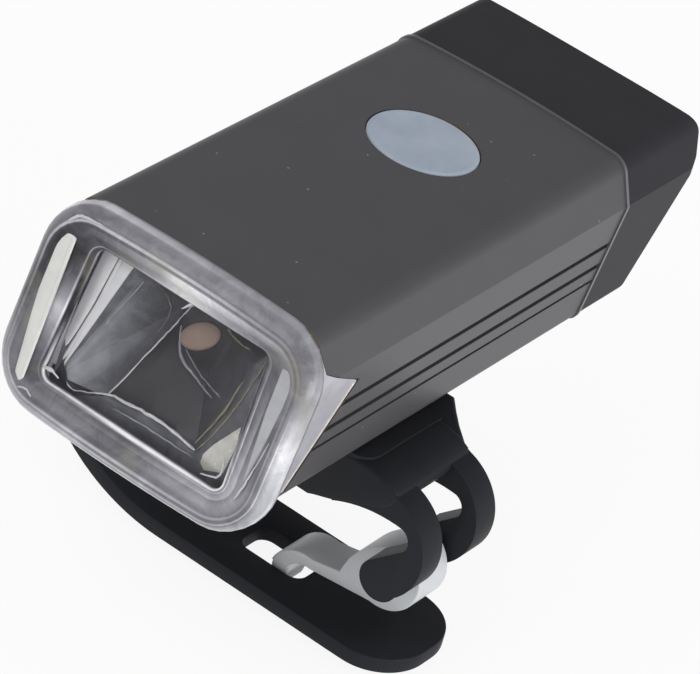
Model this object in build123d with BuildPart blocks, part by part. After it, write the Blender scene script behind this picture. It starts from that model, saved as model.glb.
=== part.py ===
from build123d import *
import os
from math import cos, radians, sin, sqrt

os.makedirs("parts", exist_ok=True)

# Pieces are drawn with X across the lamp, Y from the window to the tail and Z up from the
# underside of the shell. Each is then moved so that the origin is the handlebar saddle's middle.
# The lens leans back, so "raked" planes stand at mid_y + rake * (z - rake_mid_z).

# Shell: an extruded tube, its section given as half widths at four heights
top_half = 20.2
top_edge_z = 28.9
crown_z = 29.6
ridge_half = 22.8
ridge_z = 22.3
foot_half = 20.0
top_round = 3.0
foot_round = 2.2
least_round = 0.4
shell_wall = 2.0
shell_end_y = 79.5
grooves = ((15.2, 1.0), (11.2, 1.0), (8.1, 0.6))
groove_depth = 0.7
plug_gap = 0.08

# Front lens: rim, funnel, window and the two side wings that fill the shell's side cuts
rake = 0.28
rake_mid_z = 13.8
lens_half = 23.9
lens_top_v = 16.3
lens_foot_v = -15.6
lens_crown = 0.8
lens_top_r = 8.0
lens_foot_r = 8.5
rim_crest_y = -2.2
rim_back_y = 0.9
rim_round = 2.4
funnel_inset = 3.2
window_thick = 1.8
window_top_half = 15.0
window_foot_half = 16.0
window_top_v = 10.5
window_foot_v = -10.7
skirt_thick = 1.5
skirt_long = 3.8
seal_start = 1.5
seal_wide = 1.1
wing_start = (4.9, 27.6)
wing_top = (6.0, 23.6)
wing_tip = (14.1, 19.4)
wing_foot = (5.2, 0.0)
wing_gap = 0.12
wing_inner_x = 16.0

# Light engine behind the window
reflector_front_y = 1.9
reflector_back_y = 9.7
bowl_floor_y = 8.4
led_z = 15.2
led_r = 2.8
led_board_r = 9.5
led_board_thick = 1.2
spreader_thick = 3.1

# Battery, tray and board
tray_half = 16.0
tray_end_y = shell_end_y - 2.5
tray_floor_z = 5.8
tray_top_z = 20.0
tray_wall = 1.6
runner_inner = 11.0
cell_half = 14.2
cell_long = 56.0
cell_thick = 9.6
board_half = 15.0
board_thick = 1.2
board_long = 56.0

# Push button and the switch under it
button_y = 56.3
button_half_x = 8.8
button_half_y = 7.85
button_gap = 0.09
button_dome = 0.7
button_travel = 0.5
flange_grow = 1.3
flange_low_z = 25.7
flange_thick = 1.0
switch_side = 6.2
switch_high = 2.5
plunger_r = 1.5
plunger_proud = 0.7
plunger_deep = 0.6
run_fit = 0.05

# Tail cap, its trim ring and the charging port
trim_thick = 0.6
trim_proud = 0.25
cap_wall = 2.2
tail_foot = (91.6, 0)
tail_top = (100.9, 30)
cap_round = 2.6
cap_corner_r = 4.0
cover_long = 15.6
cover_wide = 7.4
cover_thick = 1.1
cover_gap = 0.2
cover_floor_gap = 0.06
cover_r = 1.4
port_long = 8.4
port_wide = 3.2
socket_deep = 5.6

# Swivel under the lamp
swivel_y = 36.5
base_r = 9.5
base_thick = 2.2
core_thick = 1.2
screw_r = 1.95
screw_head_r = 3.8
screw_head_high = 2.2
nut_side = 7.0
nut_high = 3.2

# Rubber bracket: base, two hooks on the right, two lugs on the left
bracket_top_z = -0.4
bracket_half = 22.0
bracket_edge_z = -7.4
bracket_wide = 23.0
seat_r = 17.0
seat_top_z = -6.5
lobe_x = 14.0
lobe_z = -10.9
arm_top_z = -1.1
arm_mid_y = 34.0
arm_wide = 4.8
arm_spacing = 13.2
hook_x = 26.0
hook_z = -11.6
hook_r = 8.7
hook_shoulder = (28.0, -2.9)
hook_root_x = 18.0
hook_root_low_z = -9.6
boss_r = 3.3
mouth_x = 29.4
mouth_z = -9.2
mouth_r = 2.2
latch_pin_x = 28.7
latch_pin_z = -17.3
latch_pin_r = 1.0
strap_pin_r = 1.2
lug_r = 4.0
lug_root_x = -18.0
lug_root_low_z = -8.9
lug_bend_x = -25.5
pin_end_wall = 1.4

# Latch and strap
latch_wide = 7.0
latch_top_z = -25.4
latch_low_z = -27.2
peg_x = 9.4
peg_half = 1.2
peg_low_z = -34.1
drum_r = 5.9
drum_x = 27.1
drum_z = -20.4
drum_cover = 1.9
strap_wide = 19.4
strap_thick = 2.6
strap_mid_z = -31.5
strap_bend_x = -8.0
strap_bend_r = 29.5
strap_flat_end_x = 24.0
strap_tip_x = 35.3
strap_tip_r = 8.4
strap_lift = 0.3
strap_pin_turn = 75.07
slot_low_x = 2.0
slot_high_x = 13.4
slot_wide = 7.0
slot_r = 2.0
knuckle_wall = 2.2
peg_side_gap = 0.7
tongue_wide = 7.8


def across(y):
    """Plane across the lamp at y, drawn as X right and Z up, facing the front."""
    return Plane.XZ.offset(-y)


def raked_plane(mid_y):
    return Plane(origin=(0, mid_y, rake_mid_z), x_dir=(1, 0, 0), z_dir=(0, -1, rake))


def raked_depth(y_depth):
    """Depth along the raked plane's normal of a distance along Y."""
    return y_depth / sqrt(1 + rake * rake)


def shell_section(inset):
    with BuildSketch() as section:
        with BuildLine():
            ThreePointArc((-top_half, top_edge_z), (0, crown_z), (top_half, top_edge_z))
            Polyline(
                (top_half, top_edge_z),
                (ridge_half, ridge_z),
                (foot_half, 0),
                (-foot_half, 0),
                (-ridge_half, ridge_z),
                (-top_half, top_edge_z),
            )
        make_face()
        if inset:
            offset(amount=-inset, kind=Kind.INTERSECTION)
        rows = section.vertices().group_by(Axis.Y)
        fillet(rows[0], max(foot_round - inset, least_round))
        fillet(section.vertices().group_by(Axis.Y)[-1], max(top_round - inset, least_round))
    return section.sketch


def shell_ring(outer_inset, inner_inset):
    with BuildSketch() as ring:
        add(shell_section(outer_inset))
        add(shell_section(inner_inset), mode=Mode.SUBTRACT)
    return ring.sketch


def raked_slice(section, front_y, back_y):
    """A section drawn along Y and cut between two raked planes."""
    with BuildPart() as piece:
        with BuildSketch(across(-15)):
            add(section)
        extrude(amount=-50)
        split(bisect_by=raked_plane(front_y), keep=Keep.BOTTOM)
        split(bisect_by=raked_plane(back_y), keep=Keep.TOP)
    return piece.part


def lens_outline(inset):
    with BuildSketch() as outline:
        with BuildLine():
            ThreePointArc(
                (-lens_half, lens_top_v), (0, lens_top_v + lens_crown), (lens_half, lens_top_v)
            )
            Line((lens_half, lens_top_v), (lens_half, lens_foot_v))
            ThreePointArc(
                (lens_half, lens_foot_v), (0, lens_foot_v - lens_crown), (-lens_half, lens_foot_v)
            )
            Line((-lens_half, lens_foot_v), (-lens_half, lens_top_v))
        make_face()
        fillet(outline.vertices().group_by(Axis.Y)[-1], lens_top_r)
        fillet(outline.vertices().group_by(Axis.Y)[0], lens_foot_r)
        if inset:
            offset(amount=-inset)
    return outline.sketch


def window_outline(grow):
    with BuildSketch() as outline:
        with BuildLine():
            Polyline(
                (window_top_half + grow, window_top_v + grow),
                (window_foot_half + grow, window_foot_v - grow),
                (-window_foot_half - grow, window_foot_v - grow),
                (-window_top_half - grow, window_top_v + grow),
                close=True,
            )
        make_face()
        fillet(outline.vertices(), 1.2)
    return outline.sketch


def side_cut(gap):
    """Triangle in Y and Z that the clear wing fills, drawn from in front of the rim's back."""
    with BuildSketch() as triangle:
        with BuildLine():
            Polyline(
                (-12, wing_start[1]), wing_start, wing_top, wing_tip, wing_foot, (4.9, -1.5), (-12, -1.5),
                close=True,
            )
        make_face()
        if gap:
            offset(amount=-gap)
    return triangle.sketch


def save(piece, name):
    """Moves a piece so that the origin is the middle of the handlebar saddle, and writes it."""
    placed = Pos(0, -swivel_y, -seat_top_z) * piece.part
    placed.label = name
    export_step(placed, f"parts/{name}.step")


# Shell
with BuildPart() as body_shell:
    with BuildSketch(across(shell_end_y)):
        add(shell_ring(0, shell_wall))
    extrude(amount=shell_end_y + 10)
    split(bisect_by=raked_plane(rim_back_y + plug_gap), keep=Keep.BOTTOM)
    for start_x in (wing_inner_x, -wing_inner_x - 10):
        with BuildSketch(Plane.YZ.offset(start_x)):
            add(side_cut(0))
        extrude(amount=10, mode=Mode.SUBTRACT)
    with BuildSketch(across(shell_end_y)):
        for groove_z, groove_wide in grooves:
            groove_x = foot_half + (ridge_half - foot_half) * groove_z / ridge_z
            with Locations((groove_x, groove_z), (-groove_x, groove_z)):
                Rectangle(2 * groove_depth, groove_wide)
    extrude(amount=shell_end_y + 10, mode=Mode.SUBTRACT)
    with BuildSketch(Plane.XY.offset(flange_low_z)):
        with Locations((0, button_y)):
            Ellipse(button_half_x + button_gap, button_half_y + button_gap)
    extrude(amount=10, mode=Mode.SUBTRACT)
    with BuildSketch(Plane.XY):
        with Locations((0, swivel_y)):
            Circle(screw_r + 0.15)
    extrude(amount=shell_wall, mode=Mode.SUBTRACT)
save(body_shell, "body_shell")

# Clear front lens
with BuildPart() as wings:
    with BuildSketch(across(-10)):
        add(shell_ring(0, shell_wall))
    extrude(amount=-25)
    split(bisect_by=raked_plane(rim_back_y - 0.5), keep=Keep.BOTTOM)
    with BuildSketch(Plane.YZ.offset(-40)):
        add(side_cut(wing_gap))
    extrude(amount=80, mode=Mode.INTERSECT)
    with Locations((0, 0, 0)):
        Box(2 * (wing_inner_x + wing_gap), 60, 80, mode=Mode.SUBTRACT)

with BuildPart() as front_lens:
    with BuildSketch(raked_plane(rim_crest_y)):
        add(lens_outline(0))
    extrude(amount=-raked_depth(rim_back_y - rim_crest_y))
    front_edges = front_lens.edges().group_by(Axis((0, 0, 0), (0, -1, rake)))[-1]
    fillet(front_edges, rim_round)
    with BuildSketch(raked_plane(rim_crest_y)):
        add(lens_outline(funnel_inset))
    with BuildSketch(raked_plane(0)):
        add(window_outline(0))
    loft(mode=Mode.SUBTRACT)
    skirt_inset = shell_wall + plug_gap
    add(raked_slice(shell_section(skirt_inset), rim_back_y - 0.3, window_thick))
    add(raked_slice(shell_ring(skirt_inset, skirt_inset + skirt_thick), rim_back_y - 0.3, rim_back_y + skirt_long))
    seal_front = rim_back_y + seal_start
    groove_ring = shell_ring(skirt_inset - 0.5, skirt_inset + 0.6)
    add(raked_slice(groove_ring, seal_front, seal_front + seal_wide), mode=Mode.SUBTRACT)
    add(wings.part)
save(front_lens, "front_lens")

with BuildPart() as lens_seal:
    seal_ring = shell_ring(shell_wall + 0.02, skirt_inset + 0.6)
    add(raked_slice(seal_ring, seal_front, seal_front + seal_wide))
save(lens_seal, "lens_seal")

# Reflector, light source and the plate that cools it
spreader_front_y = reflector_back_y + led_board_thick
spreader_back_y = spreader_front_y + spreader_thick
with BuildPart() as reflector:
    with BuildSketch(across(reflector_back_y)):
        add(shell_section(skirt_inset + skirt_thick + 0.2))
    extrude(amount=20)
    split(bisect_by=raked_plane(reflector_front_y), keep=Keep.BOTTOM)
    with BuildSketch(raked_plane(reflector_front_y)):
        add(window_outline(0.3))
    with BuildSketch(across(bowl_floor_y)):
        with Locations((0, led_z)):
            RectangleRounded(13, 10, 1.2)
    loft(mode=Mode.SUBTRACT)
    with BuildSketch(across(reflector_back_y)):
        with Locations((0, led_z)):
            Circle(led_r + 0.3)
    extrude(amount=4, mode=Mode.SUBTRACT)
save(reflector, "reflector")

with BuildPart() as led_board:
    with BuildSketch(across(spreader_front_y)):
        with Locations((0, led_z - 0.6)):
            Circle(led_board_r)
    extrude(amount=led_board_thick)
save(led_board, "led_board")

with BuildPart() as led_emitter:
    with BuildSketch(across(reflector_back_y)):
        with Locations((0, led_z)):
            Circle(led_r)
    extrude(amount=1.9)
    fillet(led_emitter.edges().group_by(Axis.Y)[0], 1.2)
save(led_emitter, "led_emitter")

with BuildPart() as heat_spreader:
    with BuildSketch(across(spreader_back_y)):
        add(shell_section(shell_wall + run_fit))
    extrude(amount=spreader_thick)
save(heat_spreader, "heat_spreader")

# Battery tray with its cell, and the board on top of it
with BuildPart() as battery_tray:
    tray_long = tray_end_y - spreader_back_y
    tray_mid_y = (tray_end_y + spreader_back_y) / 2
    with BuildSketch(Plane.XY.offset(tray_floor_z)):
        with Locations((0, tray_mid_y)):
            Rectangle(2 * tray_half, tray_long)
    extrude(amount=tray_top_z - tray_floor_z)
    with BuildSketch(Plane.XY.offset(tray_floor_z + tray_wall)):
        with Locations((0, tray_mid_y)):
            Rectangle(2 * tray_half - 2 * tray_wall, tray_long - 2 * tray_wall)
    extrude(amount=tray_top_z, mode=Mode.SUBTRACT)
    runner_wide = tray_half - runner_inner
    with BuildSketch(Plane.XY.offset(shell_wall)):
        for side in (-1, 1):
            with Locations((side * (runner_inner + runner_wide / 2), tray_mid_y)):
                Rectangle(runner_wide, tray_long)
    extrude(amount=tray_floor_z - shell_wall)
save(battery_tray, "battery_tray")

with BuildPart() as battery_cell:
    with BuildSketch(Plane.XY.offset(tray_floor_z + tray_wall)):
        with Locations((0, tray_mid_y)):
            RectangleRounded(2 * cell_half, cell_long, 2.5)
    extrude(amount=cell_thick)
    fillet(battery_cell.edges().group_by(Axis.Z)[-1], 1.5)
save(battery_cell, "battery_cell")

board_top_z = tray_top_z + board_thick
with BuildPart() as main_board:
    with BuildSketch(Plane.XY.offset(tray_top_z)):
        with Locations((0, tray_end_y - board_long / 2)):
            Rectangle(2 * board_half, board_long)
    extrude(amount=board_thick)
save(main_board, "main_board")

with BuildPart() as switch_body:
    with BuildSketch(Plane.XY.offset(board_top_z)):
        with Locations((0, button_y)):
            RectangleRounded(switch_side, switch_side, 0.5)
    extrude(amount=switch_high)
    plunger_low_z = board_top_z + switch_high - plunger_deep
    with BuildSketch(Plane.XY.offset(plunger_low_z - button_travel - 0.1)):
        with Locations((0, button_y)):
            Circle(plunger_r + run_fit)
    extrude(amount=switch_high, mode=Mode.SUBTRACT)
save(switch_body, "switch_body")

with BuildPart() as switch_plunger:
    with BuildSketch(Plane.XY.offset(plunger_low_z)):
        with Locations((0, button_y)):
            Circle(plunger_r)
    extrude(amount=plunger_deep + plunger_proud)
save(switch_plunger, "switch_plunger")

with BuildPart() as indicator_led:
    with BuildSketch(Plane.XY.offset(board_top_z)):
        with Locations((0, button_y + 5.4)):
            Rectangle(1.6, 0.9)
    extrude(amount=0.7)
save(indicator_led, "indicator_led")

# Push button, domed a little above the shell
stem_low_z = board_top_z + switch_high + plunger_proud
with BuildPart() as mode_button:
    with BuildSketch(Plane.XY.offset(flange_low_z)):
        with Locations((0, button_y)):
            Ellipse(button_half_x, button_half_y)
    extrude(amount=crown_z + 0.1 - flange_low_z)
    fillet(mode_button.edges().group_by(Axis.Z)[-1], button_dome)
    with BuildSketch(Plane.XY.offset(flange_low_z)):
        with Locations((0, button_y)):
            Ellipse(button_half_x + flange_grow, button_half_y + flange_grow)
    extrude(amount=flange_thick)
    with BuildSketch(Plane.XY.offset(stem_low_z)):
        with Locations((0, button_y)):
            Circle(2.0)
    extrude(amount=flange_low_z - stem_low_z)
save(mode_button, "mode_button")

# Trim ring and tail cap
cap_start_y = shell_end_y + trim_thick
with BuildPart() as rear_trim:
    with BuildSketch(across(shell_end_y)):
        add(shell_ring(-trim_proud, 1.6))
    extrude(amount=-trim_thick)
save(rear_trim, "rear_trim")


def tail_profile(inset):
    with BuildSketch() as profile:
        with BuildLine():
            Polyline((cap_start_y - 20, 0), tail_foot, tail_top, (cap_start_y - 20, tail_top[1]), close=True)
        make_face()
        if inset:
            offset(amount=-inset, kind=Kind.INTERSECTION)
        else:
            fillet(profile.vertices().sort_by(Axis.X)[-2:], cap_round)
    return profile.sketch


def tail_block(inset, start_y):
    """Shell section carried back to the sloping tail and rounded at its upright corners."""
    with BuildPart() as block:
        with BuildSketch(across(start_y)):
            add(shell_section(inset))
        extrude(amount=-30)
        with BuildSketch(Plane.YZ.offset(-40)):
            add(tail_profile(inset))
        extrude(amount=80, mode=Mode.INTERSECT)
        plan_end_y = tail_top[0] - inset
        with BuildSketch(Plane.XY.offset(-10)) as plan:
            with Locations((0, plan_end_y / 2)):
                Rectangle(2 * ridge_half - 2 * inset, plan_end_y)
            fillet(plan.vertices().group_by(Axis.Y)[-1], max(cap_corner_r - inset, 1.0))
        extrude(amount=50, mode=Mode.INTERSECT)
    return block.part


slope_long = sqrt((tail_top[0] - tail_foot[0]) ** 2 + (tail_top[1] - tail_foot[1]) ** 2)
slope_y = (tail_top[0] - tail_foot[0]) / slope_long
slope_z = (tail_top[1] - tail_foot[1]) / slope_long
port_y = (tail_foot[0] + tail_top[0]) / 2
port_z = (tail_foot[1] + tail_top[1]) / 2


def tail_plane(depth):
    """Plane on the tail's sloping face, drawn as X right and down the slope."""
    origin = (0, port_y - slope_z * depth, port_z + slope_y * depth)
    return Plane(origin=origin, x_dir=(1, 0, 0), z_dir=(0, slope_z, -slope_y))


def cover_outline(grow):
    """Port cover drawn on the tail: square at its hinge, rounded at the end that lifts."""
    with BuildSketch() as outline:
        Rectangle(cover_long + 2 * grow, cover_wide + 2 * grow)
        fillet(outline.vertices().group_by(Axis.Y)[-1], cover_r + grow)
    return outline.sketch


with BuildPart() as rear_cap:
    add(tail_block(0, cap_start_y))
    add(tail_block(cap_wall, cap_start_y - 5), mode=Mode.SUBTRACT)
    with BuildSketch(across(cap_start_y)):
        add(shell_ring(0.6, skirt_inset + skirt_thick))
    extrude(amount=-1.6)
    with BuildSketch(across(cap_start_y)):
        add(shell_ring(skirt_inset, skirt_inset + skirt_thick))
    extrude(amount=3.0)
    with BuildSketch(tail_plane(0)):
        add(cover_outline(cover_gap))
    extrude(amount=-cover_thick - cover_floor_gap, mode=Mode.SUBTRACT)
    with BuildSketch(tail_plane(0)):
        RectangleRounded(port_long, port_wide, 1.2)
    extrude(amount=-cap_wall - 1, mode=Mode.SUBTRACT)
save(rear_cap, "rear_cap")

with BuildPart() as usb_socket:
    with BuildSketch(tail_plane(cap_wall)):
        RectangleRounded(port_long + 2.2, port_wide + 2.2, 1.0)
    extrude(amount=-socket_deep)
    with BuildSketch(tail_plane(cap_wall)):
        RectangleRounded(port_long - 0.6, port_wide - 0.6, 0.9)
    extrude(amount=-socket_deep + 0.8, mode=Mode.SUBTRACT)
save(usb_socket, "usb_socket")

with BuildPart() as usb_cover:
    with BuildSketch(tail_plane(cover_thick)):
        add(cover_outline(0))
    extrude(amount=cover_thick)
    hinge_edges = usb_cover.edges().filter_by(Axis.X).group_by(Axis((0, 0, 0), (0, slope_y, slope_z)))[-1]
    fillet(hinge_edges, cover_thick / 2 - 0.02)
save(usb_cover, "usb_cover")

# Swivel: a disc under the shell, screwed through the bracket's core
with BuildPart() as swivel_base:
    with BuildSketch(Plane.XY):
        with Locations((0, swivel_y)):
            Circle(base_r)
            Circle(screw_r + 0.1, mode=Mode.SUBTRACT)
    extrude(amount=-base_thick)
save(swivel_base, "swivel_base")

core_top_z = -base_thick - run_fit
core_low_z = core_top_z - core_thick
with BuildPart() as bracket_core:
    with BuildSketch(Plane.XY.offset(core_top_z)):
        with Locations((0, swivel_y)):
            Circle(base_r + 0.1)
            Circle(screw_r + run_fit, mode=Mode.SUBTRACT)
    extrude(amount=-core_thick)
save(bracket_core, "bracket_core")

head_top_z = core_low_z - run_fit
with BuildPart() as swivel_screw:
    with BuildSketch(Plane.XY.offset(head_top_z)):
        with Locations((0, swivel_y)):
            Circle(screw_head_r)
    extrude(amount=-screw_head_high)
    fillet(swivel_screw.edges().group_by(Axis.Z)[0], 0.6)
    with BuildSketch(Plane.XY.offset(head_top_z - screw_head_high)):
        with Locations((0, swivel_y)):
            RegularPolygon(1.45, 6)
    extrude(amount=1.3, mode=Mode.SUBTRACT)
    with BuildSketch(Plane.XY.offset(head_top_z)):
        with Locations((0, swivel_y)):
            Circle(screw_r)
    extrude(amount=shell_wall + nut_high - head_top_z)
save(swivel_screw, "swivel_screw")

with BuildPart() as swivel_nut:
    with BuildSketch(Plane.XY.offset(shell_wall)):
        with Locations((0, swivel_y)):
            RectangleRounded(nut_side, nut_side, 0.4)
            Circle(screw_r, mode=Mode.SUBTRACT)
    extrude(amount=nut_high)
save(swivel_nut, "swivel_nut")

# Rubber bracket
arm_starts = (arm_mid_y - arm_spacing / 2 - arm_wide / 2, arm_mid_y + arm_spacing / 2 - arm_wide / 2)
pin_low_y = arm_starts[0] + pin_end_wall
pin_long = arm_spacing + arm_wide - 2 * pin_end_wall
seat_mid_z = seat_top_z - seat_r
seat_end_x = sqrt(seat_r**2 - (lobe_z - seat_mid_z) ** 2)


def bend_point(radius, degrees_round):
    """Point on the strap's bend, counted from its lowest place towards the lugs."""
    turn = radians(degrees_round)
    return (strap_bend_x - radius * sin(turn), strap_mid_z + strap_bend_r - radius * cos(turn))


strap_pin_x, strap_pin_z = bend_point(strap_bend_r, strap_pin_turn)


def hook_profile():
    """Hook that drops from the base, turns inwards and ends in a boss round the latch pin."""
    heel = (latch_pin_x + 0.94 * boss_r, latch_pin_z - 0.34 * boss_r)
    boss_side = (latch_pin_x - boss_r, latch_pin_z)
    boss_top = (latch_pin_x - 0.8 * boss_r, latch_pin_z + 0.6 * boss_r)
    mouth_low = (mouth_x + 0.84 * mouth_r, mouth_z - 0.54 * mouth_r)
    mouth_top = (mouth_x + 0.3 * mouth_r, mouth_z + 0.95 * mouth_r)
    with BuildSketch() as profile:
        with BuildLine():
            Polyline((hook_root_x, arm_top_z), (hook_shoulder[0] - 4, arm_top_z), hook_shoulder)
            ThreePointArc(hook_shoulder, (hook_x + hook_r, hook_z), heel)
            ThreePointArc(heel, (latch_pin_x - 0.1 * boss_r, latch_pin_z - boss_r), boss_side)
            ThreePointArc(boss_side, (latch_pin_x - 0.95 * boss_r, latch_pin_z + 0.31 * boss_r), boss_top)
            Line(boss_top, mouth_low)
            ThreePointArc(mouth_low, (mouth_x + mouth_r, mouth_z), mouth_top)
            ThreePointArc(mouth_top, (mouth_x - 3, mouth_top[1]), (hook_root_x, hook_root_low_z))
            Line((hook_root_x, hook_root_low_z), (hook_root_x, arm_top_z))
        make_face()
    return profile.sketch


def lug_profile():
    """Lug that slopes down to a boss round the strap pin."""
    with BuildSketch() as profile:
        with BuildLine():
            Polyline(
                (lug_root_x, arm_top_z),
                (lug_bend_x, arm_top_z),
                (strap_pin_x - 0.45 * lug_r, strap_pin_z + 0.9 * lug_r),
                (strap_pin_x + 0.55 * lug_r, strap_pin_z - 0.83 * lug_r),
                (lug_bend_x, lug_root_low_z + 1.5),
                (lug_root_x, lug_root_low_z),
                close=True,
            )
        make_face()
        with Locations((strap_pin_x, strap_pin_z)):
            Circle(lug_r)
    return profile.sketch


with BuildPart() as bracket:
    with BuildSketch(across(swivel_y - bracket_wide / 2)):
        with BuildLine():
            Polyline(
                (-seat_end_x, lobe_z), (-lobe_x, lobe_z), (-bracket_half, bracket_edge_z),
                (-bracket_half, bracket_top_z), (bracket_half, bracket_top_z), (bracket_half, bracket_edge_z),
                (lobe_x, lobe_z), (seat_end_x, lobe_z),
            )
            ThreePointArc((seat_end_x, lobe_z), (0, seat_top_z), (-seat_end_x, lobe_z))
        make_face()
    extrude(amount=-bracket_wide)
    corners = bracket.edges().filter_by(Axis.Z).group_by(SortBy.LENGTH)[-1]
    fillet(corners, 3.0)
    for start_y in arm_starts:
        with BuildSketch(across(start_y)):
            add(hook_profile())
            add(lug_profile())
        extrude(amount=-arm_wide)
    with BuildSketch(Plane.XY.offset(core_low_z)):
        with Locations((0, swivel_y)):
            Circle(base_r + 0.1)
    extrude(amount=10, mode=Mode.SUBTRACT)
    with BuildSketch(Plane.XY.offset(core_low_z)):
        with Locations((0, swivel_y)):
            Circle(screw_head_r + 0.3)
    extrude(amount=-10, mode=Mode.SUBTRACT)
    with BuildSketch(across(pin_low_y)):
        with Locations((latch_pin_x, latch_pin_z)):
            Circle(latch_pin_r)
        with Locations((strap_pin_x, strap_pin_z)):
            Circle(strap_pin_r)
    extrude(amount=-pin_long, mode=Mode.SUBTRACT)
save(bracket, "bracket")

for pin_name, pin_x, pin_z, pin_r in (
    ("latch_pin", latch_pin_x, latch_pin_z, latch_pin_r),
    ("strap_pin", strap_pin_x, strap_pin_z, strap_pin_r),
):
    with BuildPart() as hinge_pin:
        with BuildSketch(across(pin_low_y)):
            with Locations((pin_x, pin_z)):
                Circle(pin_r)
        extrude(amount=-pin_long)
    save(hinge_pin, pin_name)

# Latch: a drum on the pin, a stem to the left and a peg that drops through the strap's slot
with BuildPart() as latch:
    drum_top = (latch_pin_x + 0.9 * latch_pin_r, latch_pin_z + latch_pin_r + drum_cover)
    drum_low = (drum_x - 0.3 * drum_r, drum_z - 0.95 * drum_r)
    stem_root = (drum_x - 1.3 * drum_r, latch_top_z + 1.0)
    stem_turn = (peg_x + 5.2, latch_top_z)
    peg_left = (peg_x - peg_half, peg_low_z + 0.9)
    peg_right = (peg_x + 0.8 * peg_half, peg_low_z + 0.9)
    elbow_left = (peg_x - 1.2 * peg_half, peg_low_z + 3.7)
    elbow_right = (peg_x + 1.3 * peg_half, peg_low_z + 3.7)
    with BuildSketch(across(arm_mid_y - latch_wide / 2)):
        with BuildLine():
            Line(stem_turn, stem_root)
            ThreePointArc(stem_root, (drum_x - 0.74 * drum_r, drum_z + 0.42 * drum_r), drum_top)
            ThreePointArc(drum_top, (drum_x + 0.93 * drum_r, drum_z + 0.17 * drum_r), drum_low)
            Line(drum_low, (stem_turn[0], latch_low_z))
            ThreePointArc((stem_turn[0], latch_low_z), (peg_x + 2.6, latch_low_z - 0.8), elbow_right)
            Line(elbow_right, peg_right)
            ThreePointArc(peg_right, (peg_x, peg_low_z), peg_left)
            Line(peg_left, elbow_left)
            ThreePointArc(elbow_left, (peg_x + 0.6, latch_top_z - 1.2), stem_turn)
        make_face()
        with Locations((latch_pin_x, latch_pin_z)):
            Circle(latch_pin_r + run_fit, mode=Mode.SUBTRACT)
    extrude(amount=-latch_wide)
    peg_wide = slot_wide - 2 * peg_side_gap
    with BuildSketch(Plane.XY.offset(strap_mid_z + strap_thick / 2 + peg_side_gap)):
        for side in (-1, 1):
            with Locations((peg_x, arm_mid_y + side * (peg_wide + latch_wide) / 2)):
                Rectangle(latch_wide, latch_wide)
    extrude(amount=-10, mode=Mode.SUBTRACT)
save(latch, "latch")


def bend_band(start_degrees, end_degrees):
    inner_r = strap_bend_r - strap_thick / 2
    outer_r = strap_bend_r + strap_thick / 2
    mid_degrees = (start_degrees + end_degrees) / 2
    with BuildSketch() as band:
        with BuildLine():
            ThreePointArc(
                bend_point(outer_r, start_degrees), bend_point(outer_r, mid_degrees), bend_point(outer_r, end_degrees)
            )
            Line(bend_point(outer_r, end_degrees), bend_point(inner_r, end_degrees))
            ThreePointArc(
                bend_point(inner_r, end_degrees), bend_point(inner_r, mid_degrees), bend_point(inner_r, start_degrees)
            )
            Line(bend_point(inner_r, start_degrees), bend_point(outer_r, start_degrees))
        make_face()
    return band.sketch


def lift_points(start_z):
    """Points along the strap's free end as it rises from the flat stretch to the tip."""
    mid_x = (strap_flat_end_x + strap_tip_x) / 2
    return (
        (strap_flat_end_x, start_z), (mid_x, start_z + strap_lift / 4), (strap_tip_x, start_z + strap_lift)
    )


low_z = strap_mid_z - strap_thick / 2
high_z = strap_mid_z + strap_thick / 2
with BuildPart() as strap:
    with BuildSketch(across(arm_mid_y - strap_wide / 2)):
        add(bend_band(0, 60))
        with BuildLine():
            Line((strap_bend_x, low_z), (strap_flat_end_x, low_z))
            ThreePointArc(*lift_points(low_z))
            Line((strap_tip_x, low_z + strap_lift), (strap_tip_x, high_z + strap_lift))
            ThreePointArc(*lift_points(high_z))
            Line((strap_flat_end_x, high_z), (strap_bend_x, high_z))
            Line((strap_bend_x, high_z), (strap_bend_x, low_z))
        make_face()
    extrude(amount=-strap_wide)
    tip_corners = strap.edges().filter_by(Axis.Z).group_by(Axis.X)[-1]
    fillet(tip_corners, min(strap_tip_r, strap_wide / 2 - 0.5))
    with BuildSketch(across(arm_mid_y - tongue_wide / 2)):
        add(bend_band(59, strap_pin_turn - 1))
        with Locations((strap_pin_x, strap_pin_z)):
            Circle(strap_pin_r + knuckle_wall)
    extrude(amount=-tongue_wide)
    with BuildSketch(across(arm_mid_y - tongue_wide)):
        with Locations((strap_pin_x, strap_pin_z)):
            Circle(strap_pin_r + run_fit)
    extrude(amount=-2 * tongue_wide, mode=Mode.SUBTRACT)
    with BuildSketch(Plane.XY.offset(low_z - 1)):
        with Locations(((slot_low_x + slot_high_x) / 2, arm_mid_y)):
            RectangleRounded(slot_high_x - slot_low_x, slot_wide, slot_r)
    extrude(amount=strap_thick + 2, mode=Mode.SUBTRACT)
save(strap, "strap")
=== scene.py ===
import bpy, bmesh, math
from mathutils import Matrix, Vector, noise


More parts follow.
